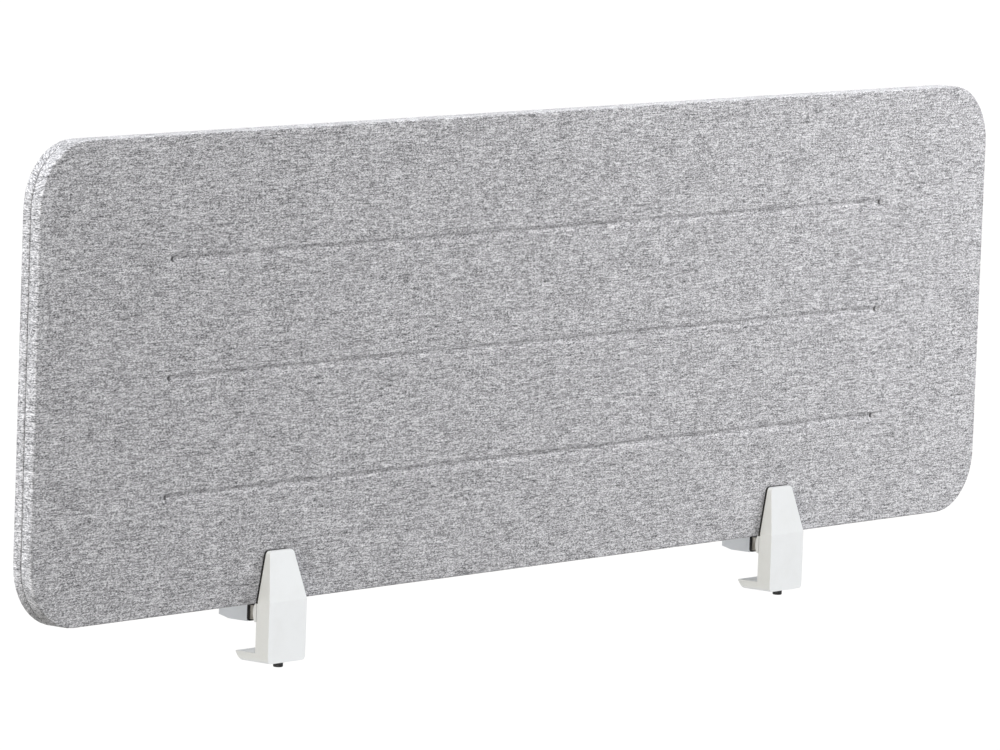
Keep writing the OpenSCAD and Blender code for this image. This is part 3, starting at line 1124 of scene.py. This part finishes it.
@dataclass
class SoftEdged:
    """A copy of a node whose sharp edges are rounded."""

    node: str
    radius: float
    segments: int = 3
    sharp_angle: float = 28.0
    flat_angle: float = 0.5

    def build(self, frame: dict) -> bpy.types.Object:
        """Copies the node's mesh, merges its triangles into flat faces and rounds its edges.

        Args:
            frame: The loaded frame.

        Returns:
            The rounded copy.
        """
        mesh = frame["nodes"][self.node].data.copy()
        mesh.name = f"{self.node}_soft"
        work = bmesh.new()
        work.from_mesh(mesh)
        bmesh.ops.remove_doubles(work, verts=work.verts, dist=0.002 * MM)
        flat = math.radians(self.flat_angle)
        bmesh.ops.dissolve_limit(
            work, angle_limit=flat, verts=work.verts, edges=work.edges, delimit={"NORMAL"}
        )
        work.to_mesh(mesh)
        work.free()
        mesh.polygons.foreach_set("use_smooth", np.ones(len(mesh.polygons), dtype=bool))
        mesh.set_sharp_from_angle(angle=math.radians(self.sharp_angle))
        piece = new_object(mesh.name, mesh)
        rounding = piece.modifiers.new("rounding", "BEVEL")
        rounding.width = self.radius
        rounding.segments = self.segments
        rounding.limit_method = "ANGLE"
        rounding.angle_limit = math.radians(self.sharp_angle)
        rounding.harden_normals = True
        return piece


class Cut(Enum):
    """What a row of a screw's profile is cut with."""

    NONE = 0
    HEXAGON = 1
    KNURL = 2
    THREAD = 3


@dataclass
class SocketScrew:
    """A socket-head screw with a knurled head and a cut thread, along its own axis."""

    node: str
    axis: Vector
    head_diameter: float = 8.5 * MM
    head_height: float = 5 * MM
    shank_diameter: float = 5 * MM
    socket_width: float = 4 * MM
    socket_depth: float = 2.5 * MM
    socket_cone: float = 0.8 * MM
    socket_bevel: float = 0.3 * MM
    bevel_widening: float = 1.12
    chamfer: float = 0.5 * MM
    knurl_start: float = 0.1 * MM
    knurl_end: float = 0.4 * MM
    knurl_depth: float = 0.16 * MM
    seat_inset: float = 0.2 * MM
    pitch: float = 0.8 * MM
    thread_start: float = 0.3 * MM
    thread_end: float = 0.6 * MM
    thread_depth: float = 0.38 * MM
    tip_share: float = 0.78
    knurl_rows: int = 8
    turn_rows: int = 8
    knurls: int = 36
    steps: int = 144

    def profile(self, length: float) -> tuple[np.ndarray, np.ndarray]:
        """Draws the screw's section from the bottom of its socket over the head and along the shank.

        Args:
            length: How long the shank is.

        Returns:
            Radii and heights, of shape (rows, 2), and the number of each row's cut.
        """
        head, shank, hexagon = self.head_diameter / 2, self.shank_diameter / 2, self.socket_width / 2
        top = -self.head_height
        floor = top + self.socket_depth
        knurl = np.linspace(top + self.chamfer + self.knurl_start, -self.knurl_end, self.knurl_rows)
        thread_rows = int(length / (self.pitch / self.turn_rows))
        thread = np.linspace(self.thread_start, length - self.thread_end, thread_rows)
        rows = [
            (0.0, floor + self.socket_cone, Cut.NONE),
            (hexagon, floor, Cut.HEXAGON),
            (hexagon, top + self.socket_bevel, Cut.HEXAGON),
            (hexagon * self.bevel_widening, top, Cut.NONE),
            (head - self.chamfer, top, Cut.NONE),
            (head, top + self.chamfer, Cut.NONE),
            *((head, height, Cut.KNURL) for height in knurl),
            (head - self.seat_inset, 0.0, Cut.NONE),
            (shank, 0.0, Cut.NONE),
            *((shank, height, Cut.THREAD) for height in thread),
            (shank * self.tip_share, length, Cut.NONE),
            (0.0, length, Cut.NONE),
        ]
        places = np.array([(radius, height) for radius, height, _ in rows])
        return places, np.array([cut.value for _, _, cut in rows])

    def cut_radius(
        self, cuts: np.ndarray, radius: np.ndarray, height: np.ndarray, angle: np.ndarray, row: np.ndarray
    ) -> np.ndarray:
        """Presses the hexagon, the knurling and the thread into the lathe's radius.

        The hexagon's radius is divided by the cosine of the angle from the nearest flat's middle. The
        knurling is a triangle wave of the angle, and the thread one of height minus angle, a helix.

        Args:
            cuts: The number of each row's cut.
            radius: The profile's radius.
            height: The height along the screw.
            angle: The angle round it.
            row: The profile's row number.

        Returns:
            The radius to use.
        """
        sixth = math.pi / 3
        hexagon = radius / np.cos((angle + sixth / 2) % sixth - sixth / 2)
        wave = triangle_wave(angle * self.knurls / (2 * math.pi))
        helix = triangle_wave(height / self.pitch - angle / (2 * math.pi))
        shapes = {
            Cut.HEXAGON: hexagon,
            Cut.KNURL: radius - self.knurl_depth * wave,
            Cut.THREAD: radius - self.thread_depth * helix,
        }
        for cut, shape in shapes.items():
            radius = np.where(cuts[row] == cut.value, shape, radius)
        return radius

    def build(self) -> bpy.types.Object:
        """Builds the screw on the Z axis, its head's seat at the origin, and then lays it on its place.

        Returns:
            The screw.
        """
        low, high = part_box(self.node)
        span = abs((high - low).dot(self.axis))
        profile, cuts = self.profile(span - self.head_height)
        surface = lathe(profile, self.steps, partial(self.cut_radius, cuts))
        seat_at = (low + high) / 2 + self.axis * (self.head_height - span / 2)
        turn = self.axis.to_track_quat("Z", "Y").to_matrix().to_4x4()
        place = np.array(Matrix.Translation(seat_at) @ turn)
        surface.points = surface.points @ place[:3, :3].T + place[:3, 3]
        return surface.to_object(f"{self.node}_cut", merge=0.002 * MM)


@dataclass
class Clamp:
    """One clamp: body with front jaw and shelf, slide block, rear jaw, pads and screws."""

    hand: Hand
    frame: dict
    finishes: Finishes
    painted_radius: float = 0.9 * MM
    rubber_radius: float = 0.35 * MM
    metal_radius: float = 0.5 * MM

    def soft(
        self, part: str, radius: float, material: bpy.types.Material, body: str, slot: str
    ) -> bpy.types.Object:
        """Replaces a node with its rounded copy.

        Args:
            part: The node's name without its hand.
            radius: The rounding of its edges.
            material: Its finish.
            body: Its body's name without its hand.
            slot: The record's material slot.

        Returns:
            The copy.
        """
        hand = self.hand.value
        piece = SoftEdged(f"{hand}_{part}", radius).build(self.frame)
        finish_piece(piece, material, f"{hand}_{body}", slot, f"{hand}_{part}")
        return piece

    def build(self) -> list[bpy.types.Object]:
        """Builds every piece of the clamp.

        Returns:
            The white pieces behind the panel, which lie in its shade.
        """
        f, hand = self.finishes, self.hand.value
        self.soft("clamp_body", self.painted_radius, f.paint, "body", "white_paint")
        self.soft("front_pad", self.rubber_radius, f.rubber, "body", "black_rubber")
        self.soft("slide_block", self.metal_radius, f.cast, "block", "bare_metal")
        self.soft("nose_ring", self.rubber_radius, f.paint, "block", "white_paint")
        rear_jaw = self.soft("rear_jaw", self.painted_radius, f.paint, "jaw", "white_paint")
        end_frame = self.soft("end_frame", self.rubber_radius, f.paint, "jaw", "white_paint")
        self.soft("gasket", self.rubber_radius, f.rubber, "jaw", "black_rubber")
        self.soft("rear_pad", self.rubber_radius, f.rubber, "jaw", "black_rubber")
        for screw, axis in (("lift_screw", Vector((0, 0, 1))), ("jaw_screw", Vector((0, -1, 0)))):
            node = f"{hand}_{screw}"
            finish_piece(SocketScrew(node, axis).build(), f.oxide, f"{node}_set", "black_steel", node)
        dress_node(self.frame, f"{hand}_retaining_ring", f.zinc)
        dress_node(self.frame, f"{hand}_jaw_washer", f.zinc)
        return [rear_jaw, end_frame]


# ---------------------------------------------------------------- studio


class LampKind(Enum):
    """Parallel light like the sun's, or a glowing square."""

    SUN = "SUN"
    AREA = "AREA"


@dataclass(frozen=True)
class Lamp:
    """A lamp that shines on the panel's middle.

    Where it stands is seen from the panel's middle, and its distance doesn't matter to a sun. Its size is a
    sun's angle in degrees or an area's width in metres.
    """

    name: str
    kind: LampKind
    stands: Vector
    power: float
    size: float
    colour: Colour = (1.0, 1.0, 1.0)
    aim_height: float = 0.2

    def place(self, lights: bpy.types.Collection | None = None) -> None:
        """Adds the lamp.

        Args:
            lights: What it shines on, or passes by where the collection says so; everything if not given.
        """
        data = bpy.data.lights.new(self.name, self.kind.value)
        data.energy = self.power
        data.color = self.colour
        if self.kind is LampKind.SUN:
            data.angle = math.radians(self.size)
        else:
            data.shape = "RECTANGLE"
            data.size = data.size_y = self.size
        lamp = new_object(self.name, data)
        lamp.location = Vector((0, 0, self.aim_height)) + self.stands
        lamp.rotation_euler = self.stands.to_track_quat("Z", "Y").to_euler()
        lamp.visible_camera = False
        if lights is not None:
            lamp.light_linking.receiver_collection = lights


WARM_WHITE = (1.0, 0.895, 0.62)
COOL_WHITE = (0.965, 0.98, 1.0)


def sun(
    name: str, direction: Place, power: float, size: float, colour: Colour = (1.0, 1.0, 1.0)
) -> Lamp:
    """Returns a sun that stands five metres off in a direction."""
    return Lamp(name, LampKind.SUN, Vector(direction) * 5, power, size, colour)


KEY = sun("key", (0.06, -0.48, 0.87), power=1.87, size=6.0)
FRONT_FILL = sun("front_fill", (0.15, -0.95, 0.25), power=0.16, size=40.0)
BACK_FILL = sun("back_fill", (0.45, 0.85, 0.27), power=0.8, size=40.0)
RIM = sun("rim", (-0.73, 0.1, 0.68), power=5.6, size=20.0, colour=COOL_WHITE)
RIGHT_FILL = Lamp("right_fill", LampKind.AREA, Vector((1.5, -1.3, 0.7)), power=38.0, size=1.0)
SIDE_LIGHT = sun("side_light", (-0.93, -0.28, 0.18), power=0.79, size=30.0, colour=WARM_WHITE)


@dataclass
class Studio:
    """Pale floor a desk's height below, soft light and the camera."""

    floor_height: float = -0.72
    floor_size: float = 160.0
    sky: Colour = (0.97, 0.985, 1.0)
    sky_strength: float = 0.34
    azimuth: float = -50.767
    elevation: float = 6.5525
    roll: float = 2.035
    lens: float = 274.7
    sensor: float = 36.0
    distance: float = 6.64
    clip_end: float = 400.0
    target: Place = (-0.0454, 0.0103, 0.1868)

    def camera(self) -> None:
        """Looks at the panel's middle from the left and a little above, turned by a small roll."""
        a, e = math.radians(self.azimuth), math.radians(self.elevation)
        back = Vector((math.sin(a) * math.cos(e), -math.cos(a) * math.cos(e), math.sin(e)))
        right = Vector((0, 0, 1)).cross(back).normalized()
        up = back.cross(right)
        lean = math.radians(self.roll)
        across = right * math.cos(lean) + up * math.sin(lean)
        rise = up * math.cos(lean) - right * math.sin(lean)
        data = bpy.data.cameras.new("camera")
        data.lens = self.lens
        data.sensor_width = self.sensor
        data.clip_end = self.clip_end
        camera = new_object("camera", data)
        place = Matrix((across, rise, back)).transposed().to_4x4()
        place.translation = Vector(self.target) + back * self.distance
        camera.matrix_world = place
        bpy.context.scene.camera = camera

    def floor(self) -> None:
        """Lays the floor, a large square round the origin."""
        half = self.floor_size / 2
        corners = [(-half, -half), (half, -half), (half, half), (-half, half)]
        mesh = bpy.data.meshes.new("floor")
        mesh.from_pydata([(x, y, self.floor_height) for x, y in corners], [], [(0, 1, 2, 3)])
        mesh.materials.append(StudioFloor().make())
        new_object("floor", mesh)

    def build(self) -> None:
        """Makes the floor, the sky, the lamps that shine on everything, and the camera."""
        self.floor()
        world = bpy.data.worlds.new("studio")
        world.use_nodes = True
        sky = world.node_tree.nodes["Background"]
        sky.inputs["Color"].default_value = (*self.sky, 1.0)
        sky.inputs["Strength"].default_value = self.sky_strength
        bpy.context.scene.world = world
        for lamp in (KEY, FRONT_FILL, BACK_FILL):
            lamp.place()
        bpy.context.scene.view_settings.view_transform = "Standard"
        self.camera()

    def light_cloth(self, covers: list[bpy.types.Object]) -> None:
        """Adds two soft lights that shine on the cloth alone: one on its upper left rim, one on its right.

        Args:
            covers: The pieces of cloth.
        """
        cloth_only = bpy.data.collections.new("cloth_only")
        for cover in covers:
            cloth_only.objects.link(cover)
        for lamp in (RIM, RIGHT_FILL):
            lamp.place(cloth_only)

    def light_side(self, shaded: list[bpy.types.Object]) -> None:
        """Adds the warm light from the left, which some pieces don't get.

        Args:
            shaded: The pieces that it passes by.
        """
        passed_by = bpy.data.collections.new("out_of_the_side_light")
        for piece in shaded:
            passed_by.objects.link(piece)
        for entry in passed_by.collection_objects:
            entry.light_linking.link_state = "EXCLUDE"
        SIDE_LIGHT.place(passed_by)


def main() -> None:
    """Builds the studio, the panel and the clamps."""
    logging.basicConfig(level=logging.INFO, format="%(name)s: %(message)s")
    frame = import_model()
    studio = Studio()
    studio.build()
    finishes = Finishes()
    covers = Panel(frame, finishes).build()
    studio.light_cloth(covers)
    shaded = []
    for hand in Hand:
        shaded += Clamp(hand, frame, finishes).build()
    studio.light_side(shaded)


if __name__ == "__main__":
    main()
